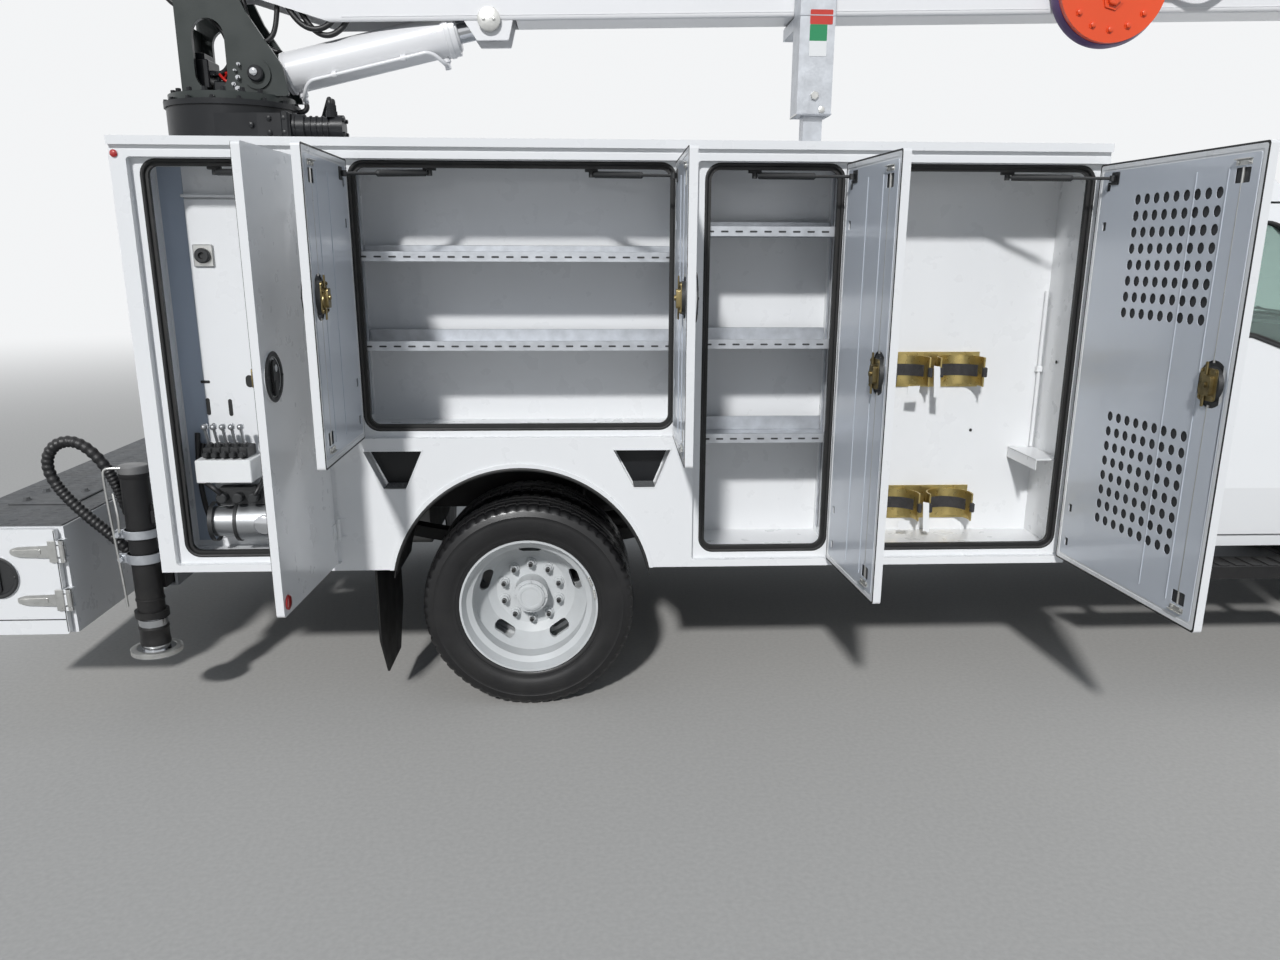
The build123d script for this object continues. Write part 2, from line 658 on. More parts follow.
def side_door(side, bay, edge, part_of, angle):
    """One side door with its pan, latch and hinge knuckles, built closed and turned about its hinge."""
    pocket_x, pocket_z = pocket_of(bay)
    middle = sum(pocket_x) / 2
    x0, x1 = pocket_x[0] + DOOR_GAP, pocket_x[1] - DOOR_GAP
    if part_of < 0:
        x1 = middle - DOOR_GAP / 2
    if part_of > 0:
        x0 = middle + DOOR_GAP / 2
    z0, z1 = pocket_z[0] + DOOR_GAP, pocket_z[1] - DOOR_GAP
    latch_x = x0 + PAN_EDGE + 38 if edge > 0 else x1 - PAN_EDGE - 38
    latch_z = (z0 + z1) / 2 + LATCH_UP
    face, inner = BODY_Y, BODY_Y - DOOR_T
    with BuildPart() as door:
        side_plate(rectangle((x0, x1), (z0, z1)), both(side, (face, inner)), DOOR_R)
        pan = rectangle((x0 + PAN_EDGE, x1 - PAN_EDGE), (z0 + PAN_EDGE, z1 - PAN_EDGE))
        side_plate(pan, both(side, (inner - 1, inner + PAN_D)), DOOR_R, Mode.SUBTRACT)
        bar_y(latch_x, latch_z, both(side, (inner - LATCH_BOX, inner + PAN_D + 1)), LATCH_CUP - 12)
        bar_y(latch_x, latch_z, both(side, (face - 1, face + LATCH_OUT)), LATCH_R)
        bar_y(latch_x, latch_z, both(side, (face - 6, face + LATCH_OUT + 1)), LATCH_CUP, Mode.SUBTRACT)
        paddle = rectangle((latch_x - 15, latch_x + 15), (latch_z - LATCH_CUP - 2, latch_z + LATCH_CUP + 2))
        side_plate(paddle, both(side, (face - 7, face + LATCH_OUT - 1)), 6)
        x, axis_y = hinge_of(bay, edge), side * (BODY_Y + HINGE_OUT)
        for z in hinge_heights(bay):
            knuckle_z = (z - HINGE_L / 2, z + HINGE_L / 2)
            post(x, axis_y, knuckle_z, HINGE_R)
            block((x - edge * 3, x - edge * 40), both(side, (face, face + 4)), knuckle_z)
            post(x, axis_y, (knuckle_z[0] - 1, knuckle_z[1] + 1), PIN_R + RUN_GAP, Mode.SUBTRACT)
    return turned(door.part, (x, axis_y, 0), (0, 0, 1), -side * edge * angle)


for bays, doors, side in ((RIGHT_BAYS, RIGHT_DOORS, -1), (LEFT_BAYS, LEFT_DOORS, 1)):
    for name, bay, edge, part_of, angle in doors:
        keep(name, side_door(side, bays[bay], edge, part_of, angle))

with BuildPart() as shelves:
    for bay, heights in SHELF_Z.items():
        x0, x1, _, wall = RIGHT_BAYS[bay]
        front_y = SHELF_BACK + FACE_T - BODY_Y
        for z in heights:
            shelf_x = (x0 - BAY_LAP + RUN_GAP, x1 + BAY_LAP - RUN_GAP)
            lip_x = (x0 - BAY_LAP + 1, x1 + BAY_LAP - 1)
            block(shelf_x, (-wall - RUN_GAP, front_y), (z - SHELF_T, z))
            block(lip_x, (front_y, front_y + SHELF_T), (z - SHELF_T, z + SHELF_LIP))
keep("shelves", shelves.part)

# The valve bank with its levers over the pump, both on the rear compartment's back wall
BAY_WALL = -RIGHT_BAYS["rear"][3] - RUN_GAP
with BuildPart() as hydraulics:
    front_y = BAY_WALL - VALVE_OUT
    block(VALVE_X, (front_y, BAY_WALL), VALVE_Z)
    top = VALVE_Z[1] + 46
    block((VALVE_X[0] + 18, VALVE_X[1] - 18), (front_y + 42, BAY_WALL), (VALVE_Z[1] - 1, VALVE_Z[1] + 34))
    for index in range(LEVERS):
        x = VALVE_X[0] + 33 + index * (VALVE_X[1] - VALVE_X[0] - 66) / (LEVERS - 1)
        foot, tip = (x, front_y + 70, top - 14), (x, front_y + 32, top + LEVER_H)
        post(x, front_y + 70, (VALVE_Z[1], top), 13)
        bar(foot, tip, 4.5)
        with Locations(tip):
            Sphere(11)
    pump_y = BAY_WALL - PUMP_R - 14
    for x0, x1, radius in ((0, 90, PUMP_R - 14), (89, 215, PUMP_R), (214, 250, PUMP_R - 24)):
        bar((PUMP_X[0] + x0, pump_y, PUMP_Z), (PUMP_X[0] + x1, pump_y, PUMP_Z), radius)
    block((PUMP_X[0] + 20, PUMP_X[1] - 20), (pump_y, BAY_WALL), (PUMP_Z - 30, PUMP_Z + 30))
keep("hydraulics", hydraulics.part)

# Gas bottle clamps: a rail on the wall with two open rings each
with BuildPart() as bottle_brackets:
    wall_y = -RIGHT_BAYS["front"][3] - RUN_GAP
    for z in CLAMP_Z:
        rail = (CLAMP_X[0] - CLAMP_R - 12, CLAMP_X[1] + CLAMP_R + 12)
        block(rail, (wall_y - CLAMP_T, wall_y), (z - CLAMP_H / 2 - 12, z + CLAMP_H / 2 + 12))
        for x in CLAMP_X:
            ring_y = wall_y - CLAMP_R - 1
            with BuildSketch(Plane.XY.offset(z - CLAMP_H / 2)) as jaw:
                with Locations((x, ring_y)):
                    Circle(CLAMP_R)
                    Circle(CLAMP_R - CLAMP_T, mode=Mode.SUBTRACT)
                with Locations((x, wall_y - CLAMP_REACH - CLAMP_R)):
                    Rectangle(3 * CLAMP_R, 2 * CLAMP_R, mode=Mode.SUBTRACT)
            extrude(jaw.sketch, amount=CLAMP_H)
keep("bottle_brackets", bottle_brackets.part)

with BuildPart() as mud_flaps:
    for side in (-1, 1):
        near, far = side * FLAP_Y[0], side * FLAP_Y[1]
        outline = [(near, FLAP_Z[1]), (far, FLAP_Z[1]), (far, FLAP_Z[0] + 170), (far - side * 110, FLAP_Z[0]),
                   (near + side * 110, FLAP_Z[0]), (near, FLAP_Z[0] + 170)]
        end_plate(outline, FLAP_X)
        block((FLAP_X[1], FLAP_X[1] + 22), (side * RAIL_OUT, far), (FLAP_Z[1] - 20, FLAP_Z[1] + 10))
keep("mud_flaps", mud_flaps.part)

# Rear bumper locker with its end door
PIN_X, PIN_Y = BUMPER_PIN
with BuildPart() as work_bumper:
    block(BUMPER_X, (-BODY_Y, BODY_Y), BUMPER_Z)
    fillet(work_bumper.edges().filter_by(Axis.Z).group_by(Axis.X)[0], BUMPER_ROUND)
    block((BUMPER_X[0] + BUMPER_T, BUMPER_X[1] - BUMPER_T), (-BODY_Y - 1, BODY_Y - BUMPER_T),
          (BUMPER_Z[0] + BUMPER_T, BUMPER_Z[1] - BUMPER_T), Mode.SUBTRACT)
    with Locations((sum(BUMPER_X) / 2, VISE_Y, BUMPER_Z[1])):
        with GridLocations(VISE_HOLES, VISE_HOLES, 2, 2):
            Hole(VISE_HOLE_R, 2 * BUMPER_T)
    for y in (*LAMP_Y, *(-y for y in LAMP_Y)):
        bar((BUMPER_X[0] - 1, y, sum(BUMPER_Z) / 2), (BUMPER_X[0] + 8, y, sum(BUMPER_Z) / 2), LAMP_R,
            Mode.SUBTRACT)
    for z in STRAP_Z:
        post(PIN_X, PIN_Y, (z - 40, z + 40), PIN_R)
        for end in (-1, 1):
            block((BUMPER_X[1] - 12, PIN_X + HINGE_R), (PIN_Y - 6, -BODY_Y), (z + end * 26, z + end * 40))
keep("work_bumper", work_bumper.part)

with BuildPart() as bumper_door:
    outer_y = -BODY_Y - DOOR_GAP - DOOR_T
    panel_x, panel_z = (BUMPER_X[0] + 3, BUMPER_X[1] - 18), (BUMPER_Z[0] + 3, BUMPER_Z[1] - 3)
    block(panel_x, (outer_y, outer_y + DOOR_T), panel_z)
    fillet(bumper_door.edges().filter_by(Axis.Y), DOOR_R)
    paddle_z = sum(STRAP_Z) / 2 - 3
    bar_y(PADDLE_X, paddle_z, (outer_y - LATCH_OUT, outer_y + 1), LATCH_R + 4)
    bar_y(PADDLE_X, paddle_z, (outer_y - LATCH_OUT - 1, outer_y + 6), LATCH_CUP, Mode.SUBTRACT)
    block((PADDLE_X - LATCH_CUP - 2, PADDLE_X + LATCH_CUP + 2), (outer_y - LATCH_OUT + 1, outer_y + 7),
          (paddle_z - 16, paddle_z + 16))
    for z in STRAP_Z:
        post(PIN_X, PIN_Y, (z - 25, z + 25), HINGE_R)
        strap = [(BUMPER_X[1], z - 20), (BUMPER_X[1] - 60, z - 20), (BUMPER_X[1] - STRAP_L, z - 8),
                 (BUMPER_X[1] - STRAP_L, z + 8), (BUMPER_X[1] - 60, z + 20), (BUMPER_X[1], z + 20)]
        side_plate(strap, (PIN_Y - 2, PIN_Y + 6))
        post(PIN_X, PIN_Y, (z - 26, z + 26), PIN_R + RUN_GAP, Mode.SUBTRACT)
keep("bumper_door", bumper_door.part)

# Tailgate with three pressed panels
with BuildPart() as tailgate:
    gate_x = (BODY_X[0] + 6, BODY_X[0] + 6 + GATE_T)
    block(gate_x, GATE_Y, GATE_Z)
    third = (GATE_Y[1] - GATE_Y[0]) / 3
    for index in range(3):
        panel = (GATE_Y[0] + index * third + 40, GATE_Y[0] + (index + 1) * third - 40)
        outline = rectangle(panel, (GATE_Z[0] + 70, GATE_Z[1] - 60))
        end_plate(outline, (gate_x[0] - 1, gate_x[0] + 8), 20, Mode.SUBTRACT)
    for y in (GATE_Y[0] + GATE_HINGE_IN, GATE_Y[1] - GATE_HINGE_IN):
        bar_y(*GATE_PIN, (y - 30, y + 30), 10)
        block((GATE_PIN[0] - 3, gate_x[0] + 2), (y - 30, y + 30), (GATE_PIN[1], GATE_Z[0] + 40))
        bar_y(*GATE_PIN, (y - 31, y + 31), PIN_R + RUN_GAP, Mode.SUBTRACT)
keep("tailgate", tailgate.part)

# Crane base: pedestal, torsion box, slewing ring and worm drive
with BuildPart() as crane_base:
    block(PEDESTAL_X, (PEDESTAL_Y[0], BED_Y - 10), (RAIL_Z[1], BED_Z - BED_T))
    block(PEDESTAL_X, PEDESTAL_Y, (RAIL_Z[1], RING_Z[0]))
    post(CRANE_X, CRANE_Y, (RING_Z[0] - 1, RING_Z[1]), RING_R)
    post(CRANE_X, CRANE_Y, (RING_Z[1] - RING_FLANGE[1], RING_Z[1]), RING_R + RING_FLANGE[0])
    worm_y = CRANE_Y - WORM_OUT
    housing = [(CRANE_X, worm_y - 35), (CRANE_X + 150, worm_y - WORM_HALF[1]),
               (MOTOR_X[0], worm_y - WORM_HALF[1]),
               (MOTOR_X[0], worm_y + WORM_HALF[1]), (CRANE_X + 170, worm_y + WORM_HALF[0]),
               (CRANE_X, worm_y + WORM_HALF[0])]
    plan_plate(housing, WORM_Z)
    middle = sum(WORM_Z) / 2
    for x0, x1, radius in ((-1, 40, MOTOR_R + 8), (39, 131, MOTOR_R), (130, 171, MOTOR_R + 6)):
        bar((MOTOR_X[0] + x0, worm_y, middle), (MOTOR_X[0] + x1, worm_y, middle), radius)
keep("crane_base", crane_base.part)

# Outriggers: the cross tube, the sliding beams and the legs in their jackets
with BuildPart() as outrigger_tube:
    block(OUT_X, (-LEG_Y + 90, LEG_Y - 90), OUT_Z)
    block((OUT_X[0] + OUT_WALL, OUT_X[1] - OUT_WALL), (-LEG_Y, LEG_Y),
          (OUT_Z[0] + OUT_WALL, OUT_Z[1] - OUT_WALL),
          Mode.SUBTRACT)
    for side in (-1, 1):
        hang_y = both(side, (RAIL_OUT, RAIL_OUT + 12))
        block(OUT_X, both(side, (380, RAIL_OUT + 12)), (OUT_Z[1] - 1, RAIL_Z[0]))
        block((OUT_X[0] + 20, OUT_X[1] - 20), hang_y, (OUT_Z[1] - 1, RAIL_Z[1] - 30))
keep("outrigger_tube", outrigger_tube.part)

for side, hand in ((-1, "right"), (1, "left")):
    leg_x, leg_y = sum(OUT_X) / 2, side * LEG_Y
    slack = OUT_WALL + 5
    beam_x = (OUT_X[0] + slack, OUT_X[1] - slack)
    with BuildPart() as beam:
        block(beam_x, both(side, (100, LEG_Y - 20)), (OUT_Z[0] + slack, OUT_Z[1] - slack))
        block(beam_x, both(side, (100, 200)), (OUT_Z[0] + OUT_WALL + RUN_GAP, OUT_Z[1] - OUT_WALL - RUN_GAP))
        post(leg_x, leg_y, LEG_Z, LEG_R)
        for ring_z in CLAMP_RING:
            post(leg_x, leg_y, ring_z, LEG_R + CLAMP_RING_OUT)
        post(leg_x, leg_y, (CLAMP_RING[2][0] - 1, LEG_Z[1] - 20), LEG_R - 8, Mode.SUBTRACT)
    keep(f"outrigger_beam_{hand}", beam.part)
    with BuildPart() as leg:
        post(leg_x, leg_y, (SOCKET_TOP - 1, LEG_Z[1] - 60), LEG_R - 8 - RUN_GAP)
        post(leg_x, leg_y, (FOOT_Z + FOOT_T - 1, SOCKET_TOP), SOCKET_R)
        post(leg_x, leg_y, (FOOT_Z, FOOT_Z + FOOT_T), FOOT_R)
    keep(f"outrigger_leg_{hand}", leg.part)

# Turret: turntable and two side plates with the pins of the boom and of the lift cylinder
PLATE_IN = BOOM_W / 2 + TURRET_GAP
TURRET_PLATE = ((-1165, 2205), (-800, 2205), (-815, 2300), (-925, 2470), (-1010, 2665), (-1165, 2680))
TURRET_SLOT = ((-1060, 2335), (230, 110))
with BuildPart() as turret:
    post(CRANE_X, CRANE_Y, (RING_Z[1] + RUN_GAP, RING_Z[1] + 25), TURRET_R)
    for side in (-1, 1):
        y = (CRANE_Y + side * PLATE_IN, CRANE_Y + side * (PLATE_IN + TURRET_T))
        side_plate(TURRET_PLATE, y, 12)
        with BuildSketch(side_plane(max(y))) as slot:
            with Locations(TURRET_SLOT[0]):
                SlotOverall(*TURRET_SLOT[1], rotation=90)
        extrude(slot.sketch, amount=TURRET_T, mode=Mode.SUBTRACT)
    outer = PLATE_IN + TURRET_T
    for place, radius in ((HEEL, HEEL_R), (LIFT_FOOT, LIFT_PIN_R)):
        bar_y(*place, (CRANE_Y - outer - 16, CRANE_Y + outer + 16), radius)
        for side in (-1, 1):
            bar_y(*place, (CRANE_Y + side * (outer - 1), CRANE_Y + side * (outer + TURRET_BOSS)), radius + 24)
    block((-1165, -1150), (CRANE_Y - PLATE_IN - 1, CRANE_Y + PLATE_IN + 1), (2205, 2440))
keep("turret", turret.part)


# Boom: an open-bottomed heel, then a closed box with two sections that slide out of it
def boom_point(x, z):
    """A place in the boom's own lengthwise and upward directions, as X and Z of the truck."""
    c, s = cos(radians(BOOM_TILT)), sin(radians(BOOM_TILT))
    return HEEL[0] + c * x - s * z, HEEL[1] + s * x + c * z


def boom_block(x, y, z, mode=Mode.ADD):
    """A box along the boom, from its length, width and height limits."""
    corners = [boom_point(*corner) for corner in rectangle(x, z)]
    side_plate(corners, (CRANE_Y + y[0], CRANE_Y + y[1]), 0, mode)


def boom_tube(x, half, z, radius, mode=Mode.ADD):
    """A length of boom with rounded long edges."""
    start = boom_point(x[0], sum(z) / 2)
    along = (cos(radians(BOOM_TILT)), 0, sin(radians(BOOM_TILT)))
    with BuildSketch(Plane(origin=(start[0], CRANE_Y, start[1]), x_dir=(0, 1, 0), z_dir=along)) as section:
        RectangleRounded(2 * half, z[1] - z[0], radius)
    extrude(section.sketch, amount=x[1] - x[0], mode=mode)


HALF_BOOM = BOOM_W / 2
INNER_ROUND = BOOM_ROUND - BOOM_WALL
with BuildPart() as boom_base:
    boom_tube((-70, BOOM_BOX[1]), HALF_BOOM, (BOOM_LOW, BOOM_HIGH), BOOM_ROUND)
    boom_tube((-80, BOOM_BOX[1] + 1), HALF_BOOM - BOOM_WALL, (BOOM_LOW + BOOM_WALL, BOOM_HIGH - BOOM_WALL),
              INNER_ROUND, Mode.SUBTRACT)
    boom_block((-80, BOOM_BOX[0]), (-HALF_BOOM + BOOM_WALL, HALF_BOOM - BOOM_WALL),
               (BOOM_LOW - 1, BOOM_LOW + 2 * BOOM_WALL), Mode.SUBTRACT)
    heel_cut = [boom_point(*corner) for corner in ((-90, -170), (500, -170), (180, -70), (-90, -70))]
    side_plate(heel_cut, (CRANE_Y - HALF_BOOM - 1, CRANE_Y + HALF_BOOM + 1), 0, Mode.SUBTRACT)
    collar_x = (BOOM_BOX[1] - 60, BOOM_BOX[1])
    boom_tube(collar_x, HALF_BOOM + 6, (BOOM_LOW - 6, BOOM_HIGH + 6), BOOM_ROUND)
    boom_tube((collar_x[0] - 1, collar_x[1] + 1), HALF_BOOM - BOOM_WALL,
              (BOOM_LOW + BOOM_WALL, BOOM_HIGH - BOOM_WALL), INNER_ROUND, Mode.SUBTRACT)
    for side in (-1, 1):
        bar_y(*HEEL, (CRANE_Y + side * (HALF_BOOM - 1), CRANE_Y + side * (HALF_BOOM + 4)), HEEL_R + 28)
    bar_y(*HEEL, (CRANE_Y - HALF_BOOM - 7, CRANE_Y + HALF_BOOM + 7), HEEL_R + RUN_GAP, Mode.SUBTRACT)
    boom_block((180, 520), (-70, 70), (BOOM_HIGH - 1, BOOM_HIGH + 30))
    drum = boom_point(350, BOOM_HIGH + 130)
    bar_y(*drum, (CRANE_Y - 85, CRANE_Y + 85), DRUM_R)
    for side in (-1, 1):
        bar_y(*drum, (CRANE_Y + side * 70, CRANE_Y + side * 85), DRUM_FLANGE)
    bar_y(*drum, (CRANE_Y + 84, CRANE_Y + 210), 52)
# The lift cylinder's lugs are solids of their own, so that the boom's collision pieces stay slender
LUG = ((930, -120), (1112, -120), (1112, -150), (1090, -226), (980, -226), (930, -150))
LUG_T = 14
lugs = []
for side in (-1, 1):
    with BuildPart() as lug:
        lug_y = CRANE_Y + side * (HALF_BOOM - BOOM_WALL - RUN_GAP)
        side_plate([boom_point(*corner) for corner in LUG], (lug_y, lug_y - side * LUG_T), 6)
    lugs.append(lug.part)
keep("boom_base", Compound(children=[boom_base.part, *lugs]))

half, low, high = HALF_BOOM, BOOM_LOW, BOOM_HIGH
for index in (1, 2):
    shrink = BOOM_WALL + BOOM_PAD
    half, low, high = half - shrink, low + shrink, high - shrink
    start, end = EXT_START + 100 * (index - 1), BOOM_BOX[1] + EXT_OUT * index
    with BuildPart() as section:
        boom_tube((start, end), half, (low, high), BOOM_ROUND)
        boom_tube((start - 1, end + 1), half - BOOM_WALL, (low + BOOM_WALL, high - BOOM_WALL), INNER_ROUND,
                  Mode.SUBTRACT)
        for foot in ((low - BOOM_PAD + RUN_GAP, low + 1), (high - 1, high + BOOM_PAD - RUN_GAP)):
            boom_block((start, start + 120), (-half + 20, half - 20), foot)
        if index == 2:
            tip = boom_point(end + 60, (low + high) / 2)
            for side in (-1, 1):
                cheek = [boom_point(*corner) for corner in
                         ((end - 40, low + 20), (end + 130, low + 20), (end + 150, high - 20),
                          (end - 40, high - 20))]
                side_plate(cheek, (CRANE_Y + side * (half - BOOM_WALL), CRANE_Y + side * half))
            bar_y(*tip, (CRANE_Y - half, CRANE_Y + half), 14)
            bar_y(*tip, (CRANE_Y - 20, CRANE_Y + 20), SHEAVE_R)
    keep(f"boom_ext{index}", section.part)

# Lift cylinder: barrel on the turret, rod whose eye lies between the boom's lugs
LIFT_RUN = (LIFT_EYE[0] - LIFT_FOOT[0], LIFT_EYE[1] - LIFT_FOOT[1])
LIFT_LENGTH = hypot(*LIFT_RUN)


def lift_point(distance):
    """A place along the lift cylinder, from its foot pin."""
    share = distance / LIFT_LENGTH
    return LIFT_FOOT[0] + share * LIFT_RUN[0], CRANE_Y, LIFT_FOOT[1] + share * LIFT_RUN[1]


with BuildPart() as lift_barrel:
    bar(lift_point(75), lift_point(BARREL_L), BARREL_R)
    bar(lift_point(BARREL_L - 46), lift_point(BARREL_L), BARREL_R + 6)
    bar(lift_point(30), lift_point(76), 32)
    bar_y(*LIFT_FOOT, (CRANE_Y - 45, CRANE_Y + 45), 45)
    bar_y(*LIFT_FOOT, (CRANE_Y - 46, CRANE_Y + 46), LIFT_PIN_R + RUN_GAP, Mode.SUBTRACT)
    bar(lift_point(150), lift_point(BARREL_L + 1), ROD_R + RUN_GAP, Mode.SUBTRACT)
keep("lift_barrel", lift_barrel.part)

with BuildPart() as lift_rod:
    bar(lift_point(160), lift_point(LIFT_LENGTH - 20), ROD_R)
    bar_y(*LIFT_EYE, (CRANE_Y - 50, CRANE_Y + 50), 46)
keep("lift_rod", lift_rod.part)

# Hook block: a round cheek hung on a pin at the boom's near side
with BuildPart() as hook_block:
    hook_y = (CRANE_Y - HALF_BOOM - 15 - HOOK_T, CRANE_Y - HALF_BOOM - 15)
    bar_y(*HOOK_AT, hook_y, HOOK_R)
    block((HOOK_AT[0] - HOOK_R, HOOK_AT[0] + HOOK_R), hook_y, (HOOK_AT[1] + 8, HOOK_AT[1] + HOOK_R),
          Mode.SUBTRACT)
    bar_y(*HOOK_PIN, (hook_y[0] - 15, CRANE_Y - HALF_BOOM - RUN_GAP), 22)
keep("hook_block", hook_block.part)

# Boom support: a post in a sleeve, with a lipped arm under the boom
SADDLE_Z = boom_point(SLEEVE_X[0] - HEEL[0], BOOM_LOW)[1] - SADDLE_PAD
SLEEVE_Y = (CRANE_Y - HALF_BOOM - 6 - SLEEVE_W, CRANE_Y - HALF_BOOM - 6)
with BuildPart() as support_post:
    post_y = sum(SLEEVE_Y) / 2
    block(POST_X, (post_y - 34, post_y + 34), (BODY_Z[1], SLEEVE_FOOT + 53))
    block(SLEEVE_X, SLEEVE_Y, (SLEEVE_FOOT, SADDLE_Z + 160))
    block((POST_X[0] - 58, POST_X[1] + 52), (SLEEVE_Y[0] - 10, SLEEVE_Y[1] + 10), (BODY_Z[1], BODY_Z[1] + 10))
with BuildPart() as support_arm:
    block(SLEEVE_X, (SLEEVE_Y[1] + RUN_GAP, CRANE_Y + HALF_BOOM + 20), (SADDLE_Z - SADDLE_H, SADDLE_Z))
keep("boom_support", Compound(children=[support_post.part, support_arm.part]))


# Cab: lower body and greenhouse are lofts between plan sections, hollowed by smaller ones
def cab_section(half, back, corner, nose, z):
    """A plan section: straight back and sides, and a bowed front."""
    with BuildSketch(Plane.XY.offset(z)) as section:
        with BuildLine():
            Polyline((corner, half), (back, half), (back, -half), (corner, -half))
            ThreePointArc((corner, -half), (nose, 0), (corner, half))
        make_face()
    return section.sketch


# Sections from the rocker up: height, half width, then from the front axle the back, front corner and nose
CAB_SECTIONS = (
    (ROCKER_Z, CAB_HALF - 40, -CAB_BEHIND, COWL_X, COWL_X + 20),
    (CREASE_Z, CAB_HALF, -CAB_BEHIND, COWL_X, COWL_X + 20),
    (BELT_Z, CAB_HALF - 15, -CAB_BEHIND, COWL_X, COWL_X + 160),
    (ROOF_Z - 45, ROOF_HALF, 25 - CAB_BEHIND, COWL_X - 650, COWL_X - 520),
    (ROOF_Z, ROOF_HALF - 110, 120 - CAB_BEHIND, COWL_X - 790, COWL_X - 680),
)
CAB_END = WHEELBASE - 593


def cab_volume(inset, floor=ROCKER_Z):
    """The cab's outer form, or a smaller one inside it, down to its floor."""
    for low_section, high_section in zip(CAB_SECTIONS, CAB_SECTIONS[1:]):
        pair = []
        for z, half, back, corner, nose in (low_section, high_section):
            height = max(z, floor) - inset * (z > BELT_Z)
            back = WHEELBASE + back + inset
            corner, nose = WHEELBASE + corner - inset, WHEELBASE + nose - inset
            pair.append(cab_section(half - inset, back, corner, nose, height))
        loft(pair, ruled=True)


def door_outline(grow):
    """A cab door's outline in side view, grown for its seam."""
    back, foot = DOOR_FIRST
    return ahead([(back - grow, foot - grow), (-913 + grow, foot - grow), (-913 + grow, 1330 + grow),
                  (-1443 + grow, 1868 + grow), (back + 30 - grow, 1868 + grow), (back - grow, BELT_Z)])


DOOR_WINDOW = ahead([(-1898, 1405), (-1553, 1395), (-1393, 1338), (-1023, 1325), (-1463, 1800),
                     (-1883, 1800)])
BACK_WINDOW = [(-700, 1420), (700, 1420), (640, 1880), (-640, 1880)]
WINDSCREEN = [(-860, 1400), (860, 1400), (700, 1900), (-700, 1900)]
BACK_CUT = (CAB_BACK - 20, CAB_BACK + 120)
FRONT_CUT = (WHEELBASE - 1593, CAB_END)
DOOR_DEPTH = (CAB_HALF + 50, ROOF_HALF - 130)

with BuildPart() as cab_outer:
    cab_volume(0)
with BuildPart() as cab_inner:
    cab_volume(CAB_WALL, ROCKER_Z + CAB_WALL)
with BuildPart() as cavity:
    add(cab_inner.part)
    block((CAB_BACK, CAB_END), (-CAB_HALF, CAB_HALF), (ROCKER_Z, FLOOR_Z), Mode.SUBTRACT)
with BuildPart() as doorways:
    for side in (-1, 1):
        side_plate(door_outline(DOOR_SEAM), both(side, DOOR_DEPTH), DOOR_R)
    kept = CAB_HALF - CAB_WALL - 52
    block((CAB_BACK, CAB_END), (-kept, kept), (ROCKER_Z, FLOOR_Z), Mode.SUBTRACT)

with BuildPart() as cab_shell:
    add(cab_outer.part)
    add(cavity.part, mode=Mode.SUBTRACT)
    block((CAB_BACK - 1, CAB_END), (-SILL_IN, SILL_IN), (ROCKER_Z - 1, UNDERSIDE_Z), Mode.SUBTRACT)
    add(doorways.part, mode=Mode.SUBTRACT)
    end_plate(BACK_WINDOW, BACK_CUT, 60, Mode.SUBTRACT)
    end_plate(WINDSCREEN, FRONT_CUT, 40, Mode.SUBTRACT)
    block((WHEELBASE + COWL_X + 93, WHEELBASE + COWL_X + 163), (-560, 560), (1325, 1345))
    for side in (-1, 1):
        for x in (CAB_BACK + 65, CAB_BACK + 1165):
            block((x, x + 60), both(side, (RAIL_OUT - 60, RAIL_OUT)), (RAIL_Z[1], UNDERSIDE_Z + 1))
keep("cab_shell", cab_shell.part)

with BuildPart() as glass_inner:
    cab_volume(GLASS_IN + GLASS_T)
with BuildPart() as glass_skin:
    cab_volume(GLASS_IN)
    add(glass_inner.part, mode=Mode.SUBTRACT)
with BuildPart() as openings:
    end_plate(BACK_WINDOW, BACK_CUT, 60)
    end_plate(WINDSCREEN, FRONT_CUT, 40)
with BuildPart() as cab_glass:
    add(glass_skin.part)
    add(openings.part, mode=Mode.INTERSECT)
keep("cab_glass", cab_glass.part)

PIVOT_X, PIVOT_Y = CAB_DOOR_PIVOT
for side, hand in ((-1, "right"), (1, "left")):
    across = both(side, DOOR_DEPTH)
    with BuildPart() as door_prism:
        side_plate(door_outline(0), across, DOOR_R)
        side_plate(DOOR_WINDOW, across, 30, Mode.SUBTRACT)
    with BuildPart() as window_prism:
        side_plate(DOOR_WINDOW, across, 30)
    with BuildPart() as cab_door:
        add(cab_outer.part)
        add(cab_inner.part, mode=Mode.SUBTRACT)
        add(door_prism.part, mode=Mode.INTERSECT)
        # Handle, hinge leaves and mirror
        grip_y = side * (CAB_HALF + 14)
        grip = (WHEELBASE - 1920, WHEELBASE - 1800)
        bar((grip[0], grip_y, HANDLE_Z), (grip[1], grip_y, HANDLE_Z), 11)
        for x in (grip[0] + 16, grip[1] - 16):
            bar_y(x, HANDLE_Z, (grip_y, side * (CAB_HALF - 25)), 8)
        for z in CAB_HINGE_Z:
            leaf_z = (z - 25, z + 25)
            post(PIVOT_X, side * PIVOT_Y, leaf_z, 6)
            block((PIVOT_X - 31, PIVOT_X), both(side, (CAB_HALF - 20, CAB_HALF)), leaf_z)
        for z in MIRROR_ARM_Z:
            bar_y(WHEELBASE - 1038, z, both(side, (CAB_HALF - 32, CAB_HALF + 130)), 13)
        head = [(-1083, 1330), (-993, 1330), (-1013, 1660), (-1073, 1660)]
        side_plate(ahead(head), both(side, (CAB_HALF + 100, MIRROR_OUT)), 22)
    keep(f"cab_door_{hand}", cab_door.part)
    with BuildPart() as door_glass:
        add(glass_skin.part)
        add(window_prism.part, mode=Mode.INTERSECT)
    keep(f"door_glass_{hand}", door_glass.part)

